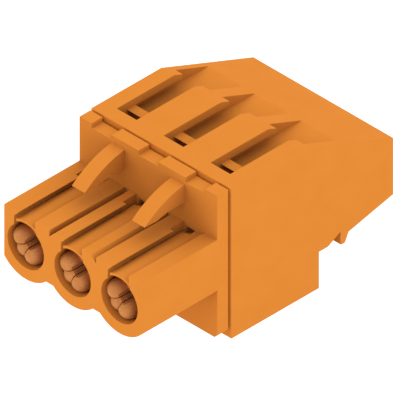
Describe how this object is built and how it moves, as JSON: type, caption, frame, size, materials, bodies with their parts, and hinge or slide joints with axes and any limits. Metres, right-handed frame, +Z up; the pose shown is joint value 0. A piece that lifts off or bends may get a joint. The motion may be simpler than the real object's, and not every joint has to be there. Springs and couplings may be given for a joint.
{
  "type": "pluggable terminal block plug",
  "caption": "Spring-clamp plug that mates with a pin header: moulded housing with round sockets, latching hooks and rear wire entries.",
  "frame": {"origin": "middle of the footprint, at the lowest face of the rear housing", "axes": "+X across the poles, +Y along the plug towards the wires, +Z up through the screwdriver slots"},
  "size_m": [0.0152, 0.0272, 0.0141],
  "materials": {
    "housing": "moulded, satin",
    "carrier": "moulded, satin",
    "contact": "stamped copper alloy",
    "spring": "stainless strip"
  },
  "bodies": {
    "root": {"rear_housing": "housing", "front_housing": "carrier", "socket_contact_1": "contact", "socket_contact_2": "contact", "socket_contact_3": "contact", "clamp_spring_1": "spring", "clamp_spring_2": "spring", "clamp_spring_3": "spring"}
  },
  "joints": []
}
